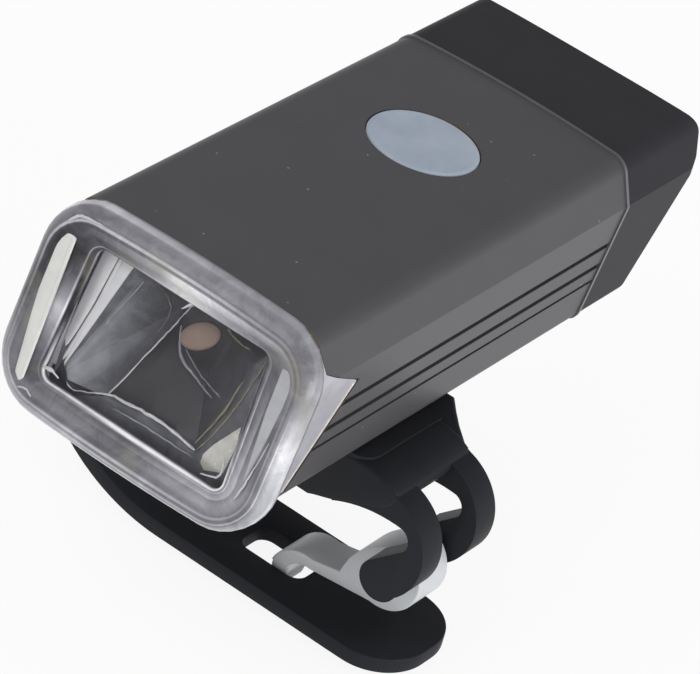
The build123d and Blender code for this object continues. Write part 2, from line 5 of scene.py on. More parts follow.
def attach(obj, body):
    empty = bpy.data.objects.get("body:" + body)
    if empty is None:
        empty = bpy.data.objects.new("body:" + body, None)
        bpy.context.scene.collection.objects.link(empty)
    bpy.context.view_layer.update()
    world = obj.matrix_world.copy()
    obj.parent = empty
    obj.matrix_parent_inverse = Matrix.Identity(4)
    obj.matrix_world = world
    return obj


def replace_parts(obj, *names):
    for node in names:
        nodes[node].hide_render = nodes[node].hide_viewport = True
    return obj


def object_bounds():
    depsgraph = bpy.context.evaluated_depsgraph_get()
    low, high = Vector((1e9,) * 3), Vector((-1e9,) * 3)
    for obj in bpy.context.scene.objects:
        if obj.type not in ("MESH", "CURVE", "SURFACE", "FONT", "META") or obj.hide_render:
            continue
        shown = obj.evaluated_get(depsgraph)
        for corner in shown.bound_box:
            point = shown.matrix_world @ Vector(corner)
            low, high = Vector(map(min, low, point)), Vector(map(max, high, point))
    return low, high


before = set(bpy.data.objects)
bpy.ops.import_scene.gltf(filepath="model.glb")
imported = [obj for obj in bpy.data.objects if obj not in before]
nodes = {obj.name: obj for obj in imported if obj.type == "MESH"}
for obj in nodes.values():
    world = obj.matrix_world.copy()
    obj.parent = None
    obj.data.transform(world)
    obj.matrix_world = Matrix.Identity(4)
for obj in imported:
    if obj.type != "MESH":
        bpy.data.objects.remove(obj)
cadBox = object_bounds()
scene = bpy.context.scene
mm = 0.001
# the same noise each run
noise.seed_set(5)


# the lamp's own origin in millimetres: middle of the lamp, window plane, underside of the body
lampOrigin = Vector((0, -36.5, 6.5))


def lampPoint(x, y, z):
    return (Vector((x, y, z)) + lampOrigin) * mm


def toLinear(hexText):
    values = [int(hexText[i:i + 2], 16) / 255 for i in (1, 3, 5)]
    return [v / 12.92 if v <= 0.04045 else ((v + 0.055) / 1.055) ** 2.4 for v in values] + [1.0]


def addNode(tree, kind, settings=None, links=None):
    node = tree.nodes.new(kind)
    for name, value in (settings or {}).items():
        if isinstance(name, int) or name in node.inputs:
            node.inputs[name].default_value = value
        else:
            setattr(node, name, value)
    for name, socket in (links or {}).items():
        tree.links.new(socket, node.inputs[name])
    return node


def newMaterial(name, settings):
    material = bpy.data.materials.new(name)
    material.use_nodes = True
    tree = material.node_tree
    shader = tree.nodes["Principled BSDF"]
    for socket, value in settings.items():
        shader.inputs[socket].default_value = value
    coords = addNode(tree, "ShaderNodeTexCoord").outputs["Object"]
    return material, tree, shader, coords


# patches of two colours, a roughness that wanders and a bump, all from noise of a size in millimetres
def weather(tree, shader, coords, colours, patchSize, roughRange, grainSize, grainHeight):
    patch = addNode(tree, "ShaderNodeTexNoise", {"Scale": 1 / (patchSize * mm), "Detail": 4.0, "Roughness": 0.6},
                    {"Vector": coords})
    tint = addNode(tree, "ShaderNodeMix", {"data_type": "RGBA", 6: toLinear(colours[0]), 7: toLinear(colours[1])},
                   {0: patch.outputs["Fac"]})
    tree.links.new(tint.outputs[2], shader.inputs["Base Color"])
    rough = addNode(tree, "ShaderNodeMapRange", {"To Min": roughRange[0], "To Max": roughRange[1]},
                    {"Value": patch.outputs["Fac"]})
    tree.links.new(rough.outputs[0], shader.inputs["Roughness"])
    grain = addNode(tree, "ShaderNodeTexNoise", {"Scale": 1 / (grainSize * mm), "Detail": 2.0}, {"Vector": coords})
    bump = addNode(tree, "ShaderNodeBump", {"Strength": 1.0, "Distance": grainHeight * mm},
                   {"Height": grain.outputs["Fac"]})
    tree.links.new(bump.outputs[0], shader.inputs["Normal"])
    return tint.outputs[2]


# specks of dust over a colour: their spacing and radius are in millimetres
speckRadius = 0.17


def dusted(tree, coords, colour, spacing, speckColour):
    specks = addNode(tree, "ShaderNodeTexVoronoi", {"Scale": 1 / (spacing * mm)}, {"Vector": coords})
    dust = addNode(tree, "ShaderNodeMath", {"operation": "LESS_THAN", 1: speckRadius / spacing},
                   {0: specks.outputs["Distance"]})
    mixed = addNode(tree, "ShaderNodeMix", {"data_type": "RGBA", 7: toLinear(speckColour)},
                    {0: dust.outputs[0], 6: colour})
    return mixed.outputs[2]


# anodised aluminium, extruded and bead-blasted: dark grey with a soft even sheen and a little dust
def anodisedAluminium():
    material, tree, shader, coords = newMaterial("anodisedAluminium", {"Metallic": 0.2, "Specular IOR Level": 0.3})
    tint = weather(tree, shader, coords, ("#504f52", "#575659"), 9.0, (0.42, 0.5), 0.3, 0.008)
    # cut ends are bare metal: they face the front or the back
    facing = addNode(tree, "ShaderNodeTexCoord").outputs["Normal"]
    parts = addNode(tree, "ShaderNodeSeparateXYZ", {}, {0: facing})
    endOn = addNode(tree, "ShaderNodeMath", {"operation": "ABSOLUTE"}, {0: parts.outputs["Y"]})
    cut = addNode(tree, "ShaderNodeMath", {"operation": "GREATER_THAN", 1: 0.35}, {0: endOn.outputs[0]})
    bare = addNode(tree, "ShaderNodeMix", {"data_type": "RGBA", 7: toLinear("#6e5f50")},
                   {0: cut.outputs[0], 6: tint})
    tree.links.new(dusted(tree, coords, bare.outputs[2], 4.5, "#8e8e90"), shader.inputs["Base Color"])
    return material


# satin anodised ring: light grey metal lip
def satinTrim():
    material, tree, shader, coords = newMaterial("satinTrim", {"Metallic": 0.6})
    weather(tree, shader, coords, ("#68676c", "#7e7d82"), 6.0, (0.35, 0.45), 0.25, 0.004)
    return material


# moulded ABS, spark-eroded: dark, matt, with a fine leathery grain
def texturedAbs():
    material, tree, shader, coords = newMaterial("texturedAbs", {"IOR": 1.52, "Specular IOR Level": 0.06})
    weather(tree, shader, coords, ("#303034", "#37373b"), 12.0, (0.42, 0.52), 0.35, 0.02)
    return material


# moulded silicone rubber: near black, soft sheen, a few specks of dust
def mouldedRubber():
    material, tree, shader, coords = newMaterial("mouldedRubber", {"IOR": 1.45, "Specular IOR Level": 0.12})
    tint = weather(tree, shader, coords, ("#232428", "#2b2c30"), 7.0, (0.46, 0.6), 0.5, 0.02)
    tree.links.new(dusted(tree, coords, tint, 5.0, "#77777a"), shader.inputs["Base Color"])
    return material


# injection-moulded polycarbonate window: clear, glossy, with a trace of violet
def clearPolycarbonate():
    material, tree, shader, coords = newMaterial("clearPolycarbonate", {
        "Base Color": toLinear("#6e6d75"), "IOR": 1.58, "Alpha": 0.1})
    flow = addNode(tree, "ShaderNodeTexNoise", {"Scale": 1 / (7.0 * mm), "Detail": 1.0}, {"Vector": coords})
    rough = addNode(tree, "ShaderNodeMapRange", {"To Min": 0.03, "To Max": 0.08}, {"Value": flow.outputs["Fac"]})
    tree.links.new(rough.outputs[0], shader.inputs["Roughness"])
    return material


# translucent silicone: milky blue-grey, paler at its rim where light gets in
def milkySilicone():
    material, tree, shader, coords = newMaterial("milkySilicone", {
        "Subsurface Weight": 0.3, "Subsurface Radius": (0.002, 0.002, 0.002), "IOR": 1.42})
    weather(tree, shader, coords, ("#8f9bab", "#b0bac6"), 7.0, (0.42, 0.52), 0.4, 0.006)
    return material


# moulded nylon, unpigmented: cloudy grey, light passes through its thin parts
def cloudyNylon():
    material, tree, shader, coords = newMaterial("cloudyNylon", {
        "Subsurface Weight": 0.5, "Subsurface Radius": (0.003, 0.003, 0.003), "IOR": 1.53,
        "Transmission Weight": 0.12})
    weather(tree, shader, coords, ("#cdd0d4", "#dfe1e3"), 6.0, (0.32, 0.45), 0.6, 0.01)
    return material


# phosphor under clear gel: pinkish tan, grainy
def ledPhosphor():
    material, tree, shader, coords = newMaterial("ledPhosphor", {"Coat Weight": 0.6, "Coat Roughness": 0.08})
    weather(tree, shader, coords, ("#9a7c6c", "#b39a88"), 0.6, (0.5, 0.7), 0.2, 0.03)
    return material


# zinc-plated steel: small pale metal parts
def platedSteel():
    material, tree, shader, coords = newMaterial("platedSteel", {"Metallic": 1.0})
    weather(tree, shader, coords, ("#8f9092", "#a6a7a8"), 2.0, (0.28, 0.4), 0.15, 0.004)
    return material


# glass-filled nylon inside the lamp: flat black
def innerNylon():
    material, tree, shader, coords = newMaterial("innerNylon", {})
    weather(tree, shader, coords, ("#161617", "#202021"), 5.0, (0.55, 0.7), 0.4, 0.02)
    return material


# circuit board with solder mask
def solderMask():
    material, tree, shader, coords = newMaterial("solderMask", {"Coat Weight": 0.4})
    weather(tree, shader, coords, ("#14502a", "#1a5c31"), 3.0, (0.35, 0.45), 0.3, 0.01)
    return material


# shrink film over a flat cell
def shrinkFilm():
    material, tree, shader, coords = newMaterial("shrinkFilm", {"Coat Weight": 0.5})
    weather(tree, shader, coords, ("#2f5f8c", "#376a99"), 8.0, (0.25, 0.35), 1.2, 0.03)
    return material


# colours along a tone from 0 to 1
def toneRamp(tree, value, stops):
    ramp = addNode(tree, "ShaderNodeValToRGB", {}, {"Fac": value})
    band = ramp.color_ramp
    for place, colour in stops[1:-1]:
        band.elements.new(place)
    for element, (place, colour) in zip(band.elements, stops):
        element.position = place
        element.color = toLinear(colour)
    return ramp.outputs["Color"]


# moulded polycarbonate seen edge on: milky lilac, its ridges pale with painted light and its hollows dark with
# painted shade, both read from a painted light level on the mesh
def milkyPolycarbonate():
    material, tree, shader, coords = newMaterial("milkyPolycarbonate", {
        "IOR": 1.58, "Roughness": 0.22, "Transmission Weight": 0.06, "Specular IOR Level": 0.3})
    paintedLight = addNode(tree, "ShaderNodeAttribute", {"attribute_name": "paintedLight"}).outputs["Fac"]
    flow = addNode(tree, "ShaderNodeTexNoise", {"Scale": 1 / (5.0 * mm), "Detail": 5.0, "Roughness": 0.65,
                   "Distortion": 1.5}, {"Vector": coords})
    drift = addNode(tree, "ShaderNodeMapRange", {"From Min": 0.3, "From Max": 0.7, "To Min": -0.08, "To Max": 0.08},
                    {"Value": flow.outputs["Fac"]})
    cloudy = addNode(tree, "ShaderNodeMath", {"operation": "ADD", "use_clamp": True},
                     {0: paintedLight, 1: drift.outputs[0]})
    colour = toneRamp(tree, cloudy.outputs[0], (
        (0.0, "#1e1c22"), (0.2, "#4b4951"), (0.4, "#76757c"), (0.6, "#9b9ba2"), (0.8, "#c6c6cd"), (1.0, "#fdfdfe")))
    warm = addNode(tree, "ShaderNodeTexNoise", {"Scale": 1 / (9.0 * mm), "Detail": 3.0}, {"Vector": coords})
    share = addNode(tree, "ShaderNodeMapRange", {"From Min": 0.56, "From Max": 0.72, "To Min": 0.0, "To Max": 0.45},
                    {"Value": warm.outputs["Fac"]})
    tint = addNode(tree, "ShaderNodeMix", {"data_type": "RGBA", 7: toLinear("#8d8a76")},
                   {0: share.outputs[0], 6: colour})
    tree.links.new(tint.outputs[2], shader.inputs["Base Color"])
    bump = addNode(tree, "ShaderNodeBump", {"Strength": 0.6, "Distance": 0.06 * mm}, {"Height": flow.outputs["Fac"]})
    tree.links.new(bump.outputs[0], shader.inputs["Normal"])
    return material


# the same plastic where it stands free: pale, cloudy, a little light comes through
def paleMoulding(name, colours, through):
    material, tree, shader, coords = newMaterial(name, {
        "IOR": 1.58, "Transmission Weight": through, "Coat Weight": 0.3, "Coat Roughness": 0.05})
    weather(tree, shader, coords, colours, 4.0, (0.12, 0.22), 1.5, 0.03)
    return material


# vacuum-metallised plastic in facets: its brightness is painted reflection and shade, set facet by facet, with
# smudges
def metallisedFacets():
    material, tree, shader, coords = newMaterial("metallisedFacets", {
        "Metallic": 0.2, "Roughness": 0.3, "Specular IOR Level": 0.25})
    paintedLight = addNode(tree, "ShaderNodeAttribute", {"attribute_name": "paintedLight"}).outputs["Fac"]
    flow = addNode(tree, "ShaderNodeTexNoise", {"Scale": 1 / (3.5 * mm), "Detail": 4.0, "Roughness": 0.6,
                   "Distortion": 0.8}, {"Vector": coords})
    drift = addNode(tree, "ShaderNodeMapRange", {"From Min": 0.3, "From Max": 0.7, "To Min": -0.05, "To Max": 0.05},
                    {"Value": flow.outputs["Fac"]})
    cloudy = addNode(tree, "ShaderNodeMath", {"operation": "ADD", "use_clamp": True}, {0: paintedLight, 1: drift.outputs[0]})
    colour = toneRamp(tree, cloudy.outputs[0], (
        (0.0, "#0b0b0c"), (0.15, "#242527"), (0.35, "#58595e"), (0.6, "#b0b2b9"), (1.0, "#f0f1f4")))
    tree.links.new(colour, shader.inputs["Base Color"])
    bump = addNode(tree, "ShaderNodeBump", {"Strength": 0.3, "Distance": 0.03 * mm}, {"Height": flow.outputs["Fac"]})
    tree.links.new(bump.outputs[0], shader.inputs["Normal"])
    return material


# rounded crests between the facets: the light the metal film catches there is painted into their colours as
# highlights and reflections
def metalCrest(name, colours):
    material, tree, shader, coords = newMaterial(name, {"Metallic": 0.3})
    weather(tree, shader, coords, colours, 1.2, (0.15, 0.35), 0.5, 0.05)
    return material


print("materials")
anodised = anodisedAluminium()
trimMetal = satinTrim()
capAbs = texturedAbs()
rubber = mouldedRubber()
clearPc = clearPolycarbonate()
silicone = milkySilicone()
nylon = cloudyNylon()
phosphor = ledPhosphor()
steel = platedSteel()
innerBlack = innerNylon()
boardMask = solderMask()
cellFilm = shrinkFilm()
milkyMoulding = milkyPolycarbonate()
wingMoulding = paleMoulding("paleWing", ("#a3a2ab", "#cbcad2"), 0.05)
# the glints' pale colour is a painted highlight
paintedGlintMoulding = paleMoulding("paintedGlint", ("#a2a3a9", "#d9d9de"), 0.0)
# the facets' pale and grey and the prisms' white are one plastic, painted lit, shaded and highlighted
shadedFacetMoulding = paleMoulding("paintedShadeFacet", ("#8b8c90", "#bcbdc2"), 0.0)
litFacetMoulding = paleMoulding("paintedLightFacet", ("#c4c5c6", "#e0dfd8"), 0.0)
highlightPrismMoulding = paleMoulding("paintedHighlightPrism", ("#dcdde2", "#ffffff"), 0.0)
facetedMetal = metallisedFacets()
# the crests' white, cool, gold and olive colours are painted highlights and painted reflections
paintedWhiteHighlight = metalCrest("paintedWhiteHighlight", ("#d6d6da", "#f2f2f5"))
paintedCoolReflection = metalCrest("paintedCoolReflection", ("#8d9098", "#b9bdc6"))
paintedGoldReflection = metalCrest("paintedGoldReflection", ("#7d775a", "#b9b08a"))
paintedOliveReflection = metalCrest("paintedOliveReflection", ("#4c4d44", "#7d7f70"))
# bare metal with a painted highlight along the shell's cut edge; the seam's dark colour below is painted shade
bareMetalWithHighlight = metalCrest("bareMetalWithHighlight", ("#cfc4b6", "#eeeae4"))
seamShade = metalCrest("seamShade", ("#1d1613", "#3a2d26"))
# near-white of a painted highlight in the reflector bowl
paintedHighlightPatch = metalCrest("paintedHighlightPatch", ("#c9c3ae", "#ffffff"))

finishes = {
    "body_shell": anodised, "front_lens": clearPc, "lens_seal": rubber, "reflector": facetedMetal,
    "led_board": trimMetal, "led_emitter": phosphor, "heat_spreader": trimMetal, "battery_tray": innerBlack,
    "battery_cell": cellFilm, "main_board": boardMask, "switch_body": innerBlack, "switch_plunger": innerBlack,
    "indicator_led": phosphor, "mode_button": silicone, "rear_trim": trimMetal, "rear_cap": capAbs,
    "usb_socket": steel, "usb_cover": rubber, "swivel_base": capAbs, "bracket_core": innerBlack,
    "swivel_screw": steel, "swivel_nut": steel, "bracket": rubber, "latch_pin": steel, "strap_pin": steel,
    "latch": nylon, "strap": rubber,
}


def dress(piece, material):
    piece.data.materials.clear()
    piece.data.materials.append(material)


for nodeName, material in finishes.items():
    dress(nodes[nodeName], material)

# pieces drawn in the assembly's own frame stay where they are; points closer than the reach are one
asBuilt = Matrix.Identity(4)
weldReach = 0.002 * mm


# a finished shape becomes a piece of one material that rides on a body
def finishPiece(name, shape, place, material, body, smooth=True, closed=True):
    bmesh.ops.transform(shape, matrix=place, verts=shape.verts)
    if closed:
        bmesh.ops.recalc_face_normals(shape, faces=shape.faces)
    mesh = bpy.data.meshes.new(name)
    for face in shape.faces:
        face.smooth = smooth
    shape.to_mesh(mesh)
    shape.free()
    mesh.materials.append(material)
    piece = bpy.data.objects.new(name, mesh)
    scene.collection.objects.link(piece)
    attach(piece, body)
    return piece


def thicken(shape, face, reach):
    grown = bmesh.ops.extrude_face_region(shape, geom=[face])
    moved = [v for v in grown["geom"] if isinstance(v, bmesh.types.BMVert)]
    bmesh.ops.translate(shape, verts=moved, vec=reach)


def roundEdges(shape, edges, radius, steps):
    bmesh.ops.bevel(shape, geom=edges, offset=radius, segments=steps, profile=0.5, affect="EDGES",
                    clamp_overlap=True, material=-1)


# a copy of a solid with its sharp edges rounded, standing for the solid
def softCopy(nodeName, body, roundness, steps):
    shape = bmesh.new()
    shape.from_mesh(nodes[nodeName].data)
    bmesh.ops.remove_doubles(shape, verts=shape.verts, dist=weldReach)
    bmesh.ops.dissolve_limit(shape, angle_limit=math.radians(1.0), verts=shape.verts, edges=shape.edges)
    if nodeName == "bracket":
        narrowBase(shape)
    sharp = [e for e in shape.edges if len(e.link_faces) == 2 and e.calc_face_angle(0) > math.radians(35)]
    roundEdges(shape, sharp, roundness * mm, steps)
    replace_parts(finishPiece(nodeName + "Soft", shape, asBuilt, finishes[nodeName], body), nodeName)


# the bracket's base draws in to the hooks' width at their end: where that starts, and the hooks' middle and reach
hookPlan = {"from": 15.0, "middle": 34.0, "reach": 9.05}


def narrowBase(shape):
    middle, reach = lampPoint(0, hookPlan["middle"], 0).y, hookPlan["reach"] * mm
    for v in shape.verts:
        if v.co.x > hookPlan["from"] * mm:
            v.co.y = min(max(v.co.y, middle - reach), middle + reach)


print("rounded copies")
softEdges = {
    "bracket": ("bracket", 0.7, 3),
    "strap": ("strap", 0.6, 3),
    "latch": ("latch", 0.6, 3),
}
for nodeName, (body, roundness, steps) in softEdges.items():
    softCopy(nodeName, body, roundness, steps)

# the web that joins the hooks to the base: its outline across and up, drawn over both hooks
webOutline = ((13.0, -0.8), (23.4, -0.8), (26.0, -1.4), (27.6, -2.2), (28.2, -3.4), (27.6, -4.9),
              (26.2, -6.2), (23.2, -7.55), (20.2, -8.75), (17.4, -9.95), (14.2, -11.05), (12.6, -10.6))

# the base keeps its width to the rear until it meets the rear hook: across, along the lamp and up
shoulderOutline = ((12.5, 40.0, -0.6), (12.5, 47.7, -0.5), (17.8, 49.2, -0.5), (20.0, 49.3, -0.5), (21.9, 47.3, -0.9),
                   (24.0, 45.4, -1.4), (26.9, 43.4, -2.3), (27.3, 40.0, -2.6))


def buildRubber(name, corners, reach):
    shape = bmesh.new()
    thicken(shape, shape.faces.new([shape.verts.new(lampPoint(*corner)) for corner in corners]), Vector(reach) * mm)
    bmesh.ops.recalc_face_normals(shape, faces=shape.faces)
    caps = [f for f in shape.faces if len(f.verts) > 4]
    roundEdges(shape, [e for e in shape.edges if any(f in caps for f in e.link_faces)], 0.8 * mm, 4)
    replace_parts(finishPiece(name, shape, asBuilt, finishes["bracket"], "bracket"), "bracket")


# the web starts at the front hook's outer side and runs to the rear hook's
webFront, webLength = 24.85, 18.3
buildRubber("bracketWeb", [(x, webFront, z) for x, z in webOutline], (0, webLength, 0))
buildRubber("bracketShoulder", shoulderOutline, (0, 0, -2.8))

# front lens: a milky moulding round a clear window, drawn across, up its lean, and out to the front
# its frame has its origin in the window's plane, at this height over the body's underside
lensLean = 0.28
windowHeight = 13.8
leanLength = math.sqrt(1 + lensLean ** 2)
lensFrame = Matrix.Scale(mm, 4) @ Matrix((
    (1, 0, 0, 0),
    (0, lensLean / leanLength, -1, lampOrigin.y),
    (0, 1 / leanLength, 0, windowHeight + lampOrigin.z),
    (0, 0, 0, 1)))

# each outline: half width at the top and foot, top, foot, corner rounds at the top and foot, crown
lensOutline = {"halfTop": 23.9, "halfFoot": 23.9, "top": 15.75, "foot": -15.6, "topRound": 8.0, "footRound": 8.5,
               "crown": 0.8}
windowOutline = {"halfTop": 15.0, "halfFoot": 16.0, "top": 10.5, "foot": -10.7, "topRound": 1.4, "footRound": 1.6,
                 "crown": 0.0}


def between(first, second, share):
    return {key: first[key] * (1 - share) + second[key] * share for key in first}


def drawnIn(outline, inset):
    return {"halfTop": outline["halfTop"] - inset, "halfFoot": outline["halfFoot"] - inset,
            "top": outline["top"] - inset, "foot": outline["foot"] + inset,
            "topRound": max(outline["topRound"] - inset, 0.4), "footRound": max(outline["footRound"] - inset, 0.4),
            "crown": outline["crown"]}


# the points of an outline, counterclockwise from the right: a corner, then the straight to the next
arcSteps, straightSteps = 8, 10


def outlinePoints(outline):
    corners = []
    for quarter in range(4):
        end = "Top" if quarter < 2 else "Foot"
        rounding = outline[end.lower() + "Round"]
        across = (outline["half" + end] - rounding) * (1 if quarter in (0, 3) else -1)
        up = outline["top"] - rounding if quarter < 2 else outline["foot"] + rounding
        for step in range(arcSteps + 1):
            angle = math.radians(90 * quarter + 90 * step / arcSteps)
            corners.append((across + rounding * math.cos(angle), up + rounding * math.sin(angle)))
    points = []
    for i, (x, up) in enumerate(corners):
        nextX, nextUp = corners[(i + 1) % len(corners)]
        cuts = straightSteps if i % (arcSteps + 1) == arcSteps else 1
        points += [(x + (nextX - x) * cut / cuts, up + (nextUp - up) * cut / cuts) for cut in range(cuts)]
    return [(x, up + crownAt(x, up, outline)) for x, up in points]


# how far the crown lifts the top and lowers the foot
def crownAt(x, up, outline):
    lift = outline["crown"] * max(0.0, 1 - (x / outline["halfTop"]) ** 2)
    high = (up - outline["top"] + outline["topRound"]) / outline["topRound"]
    low = (outline["foot"] + outline["footRound"] - up) / outline["footRound"]
    return lift * (min(max(high, 0), 1) - min(max(low, 0), 1))


def outlineFace(shape, outline, out):
    return shape.faces.new([shape.verts.new((x, up, out)) for x, up in outlinePoints(outline)])


# painted light and shade round an outline, at these degrees from the right: right, top, left, foot and the corners
# between
toneAngles = (0, 35, 90, 145, 180, 215, 270, 325, 360)
toneAspect = 1.35


def paintedLevelAt(place, paintedLevels):
    angle = math.degrees(math.atan2(place.y * toneAspect, place.x)) % 360
    paintedLevels = tuple(paintedLevels) + (paintedLevels[0],)
    for i in range(len(toneAngles) - 1):
        if angle <= toneAngles[i + 1]:
            share = (angle - toneAngles[i]) / (toneAngles[i + 1] - toneAngles[i])
            return paintedLevels[i] * (1 - share) + paintedLevels[i + 1] * share


# rings from the outer edge to the window: drawn in by, share of the way to the window, out, tones of painted light
# and shade
ringPlan = (
    (0.0, 0.0, -0.9, (0.62, 0.50, 0.34, 0.56, 0.22, 0.50, 0.80, 0.66)),
    (0.0, 0.0, -0.3, (0.84, 0.56, 0.60, 0.84, 0.20, 0.56, 1.00, 0.84)),
    (0.15, 0.0, 0.4, (0.90, 0.54, 0.66, 0.86, 0.18, 0.64, 1.00, 0.78)),
    (0.3, 0.0, 0.75, (0.90, 0.46, 0.52, 0.46, 0.14, 0.72, 0.90, 0.66)),
    (0.9, 0.0, 1.5, (0.94, 0.42, 0.42, 0.40, 0.14, 0.78, 0.78, 0.60)),
    (1.45, 0.0, 1.96, (0.80, 0.38, 0.40, 0.36, 0.16, 0.80, 0.54, 0.44)),
    (1.6, 0.0, 2.02, (0.96, 0.30, 0.42, 0.38, 0.24, 0.58, 0.84, 0.76)),
    (1.8, 0.0, 2.1, (0.56, 0.44, 0.80, 0.74, 0.44, 0.68, 0.80, 0.38)),
    (2.05, 0.0, 2.17, (0.50, 0.44, 0.84, 0.68, 0.40, 0.66, 0.46, 0.34)),
    (2.2, 0.0, 2.2, (0.42, 0.28, 0.44, 0.16, 0.22, 0.58, 0.40, 0.40)),
    (2.5, 0.0, 2.2, (0.62, 0.40, 0.56, 0.06, 0.22, 0.70, 0.84, 0.66)),
    (2.7, 0.0, 2.12, (0.34, 0.56, 1.00, 0.00, 0.24, 0.36, 0.76, 0.42)),
    (2.85, 0.0, 2.08, (0.30, 0.50, 1.00, 0.00, 0.24, 0.36, 0.38, 0.50)),
    (3.2, 0.06, 1.9, (0.36, 0.40, 1.00, 0.00, 0.34, 0.40, 0.30, 0.62)),
    (3.2, 0.3, 1.5, (0.46, 0.34, 1.00, 0.00, 0.56, 0.34, 0.22, 0.68)),
    (3.2, 0.5, 1.1, (0.30, 0.32, 1.00, 0.00, 0.72, 0.26, 0.18, 0.58)),
    (3.2, 0.55, 1.02, (0.66, 0.32, 1.00, 0.00, 0.76, 0.26, 0.30, 0.80)),
    (3.2, 0.78, 0.62, (0.34, 0.28, 1.00, 0.04, 0.80, 0.26, 0.18, 0.64)),
    (3.2, 0.82, 0.58, (0.94, 0.52, 1.00, 0.60, 1.00, 0.44, 0.38, 0.88)),
    (3.2, 0.85, 0.54, (0.60, 0.36, 1.00, 0.10, 0.96, 0.30, 0.56, 0.60)),
    (3.2, 0.89, 0.48, (0.40, 0.28, 0.96, 0.00, 0.00, 0.12, 0.92, 0.48)),
    (3.2, 0.93, 0.4, (0.08, 0.14, 0.90, 0.00, 0.00, 0.50, 1.00, 0.88)),
    (3.2, 0.97, 0.3, (0.02, 0.04, 0.20, 0.06, 0.00, 0.92, 1.00, 1.00)),
    (3.2, 1.0, 0.2, (0.86, 0.72, 0.92, 0.70, 0.00, 0.92, 1.00, 0.98)),
    (3.2, 1.0, -0.4, (0.24, 0.24, 0.50, 0.24, 0.10, 0.24, 0.50, 0.40)),
)


def buildLensRim():
    shape = bmesh.new()
    paintedLightLayer = shape.verts.layers.float.new("paintedLight")
    rings = []
    for inset, share, out, paintedLevels in ringPlan:
        outline = between(drawnIn(lensOutline, inset), windowOutline, share)
        ring = [shape.verts.new((x, up, out)) for x, up in outlinePoints(outline)]
        # each vertex of the ring carries its level of painted light and shade
        for v in ring:
            v[paintedLightLayer] = paintedLevelAt(v.co, paintedLevels)
        rings.append(ring)
    for first, second in zip(rings, rings[1:] + rings[:1]):
        for i in range(len(first)):
            shape.faces.new((first[i - 1], first[i], second[i], second[i - 1]))
    return finishPiece("lensRim", shape, lensFrame, milkyMoulding, "lamp")


# a small flat piece: its corners in order, how far out its front lies, its thickness
def buildSlab(name, corners, out, thick, material, rounding=0.25):
    shape = bmesh.new()
    thicken(shape, shape.faces.new([shape.verts.new((x, up, out - thick)) for x, up in corners]), (0, 0, thick))
    roundEdges(shape, list(shape.edges), rounding, 2)
    return finishPiece(name, shape, lensFrame, material, "lamp")


# the clear pane overlaps the moulding round it a little
paneOverlap, paneThickness = 0.05, 1.8


def buildWindow():
    shape = bmesh.new()
    thicken(shape, outlineFace(shape, drawnIn(windowOutline, -paneOverlap), 0.0), (0, 0, -paneThickness))
    return finishPiece("lensWindow", shape, lensFrame, clearPc, "lamp", smooth=False)


# the wings are the solid's own: a copy keeps what stands this far behind the rim and this far out to the side
wingCuts = {"back": 0.96, "side": 16.08}


def buildWing(name, side):
    shape = bmesh.new()
    shape.from_mesh(nodes["front_lens"].data)
    bmesh.ops.remove_doubles(shape, verts=shape.verts, dist=weldReach)
    cuts = ((lampPoint(0, wingCuts["back"], windowHeight), (0, -1, lensLean)),
            (lampPoint(side * wingCuts["side"], 0, 0), (-side, 0, 0)))
    for place, outward in cuts:
        cut = bmesh.ops.bisect_plane(shape, geom=shape.verts[:] + shape.edges[:] + shape.faces[:], plane_co=place,
                                     plane_no=outward, clear_outer=True)
        edges = [e for e in cut["geom_cut"] if isinstance(e, bmesh.types.BMEdge)]
        bmesh.ops.holes_fill(shape, edges=edges, sides=0)
    return finishPiece(name, shape, asBuilt, wingMoulding, "lamp", smooth=False)


# the light-catching facets moulded in the funnel, and the prisms behind the window's left edge: their pale and white
# colours are painted light and highlight, the right facet's grey is painted shade
facetPlan = {
    "lensFacetLeft": (litFacetMoulding, 1.95, (
        (-19.7, 11.0), (-18.1, 10.6), (-17.7, -11.2), (-18.3, -12.3), (-19.3, -11.6), (-21.6, 8.4))),
    "lensFacetLeftInner": (litFacetMoulding, 2.0, ((-18.9, 10.7), (-18.1, 10.5), (-17.75, -11.0), (-18.2, -12.0))),
    "lensFacetRight": (shadedFacetMoulding, 1.95, ((18.2, 10.9), (19.6, 10.9), (21.1, 9.0), (19.5, -7.8), (18.4, 4.4))),
    "lensPrismLong": (highlightPrismMoulding, -1.95, (
        (-15.5, 9.6), (-12.9, 9.6), (-13.9, 1.0), (-15.7, -9.6), (-16.7, -9.6))),
    "lensPrismMid": (highlightPrismMoulding, -1.9, (
        (-12.8, 9.6), (-12.1, 9.6), (-12.6, 3.7), (-14.9, -9.5), (-15.6, -9.5), (-13.6, 1.4))),
    "lensPrismShort": (highlightPrismMoulding, -1.9, ((-12.0, 9.6), (-10.1, 9.6), (-14.6, -9.5), (-14.9, -9.5))),
}
facetThickness = 0.5

print("lens")
lensPieces = [buildLensRim(), buildWindow(), buildWing("lensWingLeft", -1), buildWing("lensWingRight", 1)]
for name, (material, out, corners) in facetPlan.items():
    lensPieces.append(buildSlab(name, corners, out, facetThickness, material))
for piece in lensPieces:
    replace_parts(piece, "front_lens")

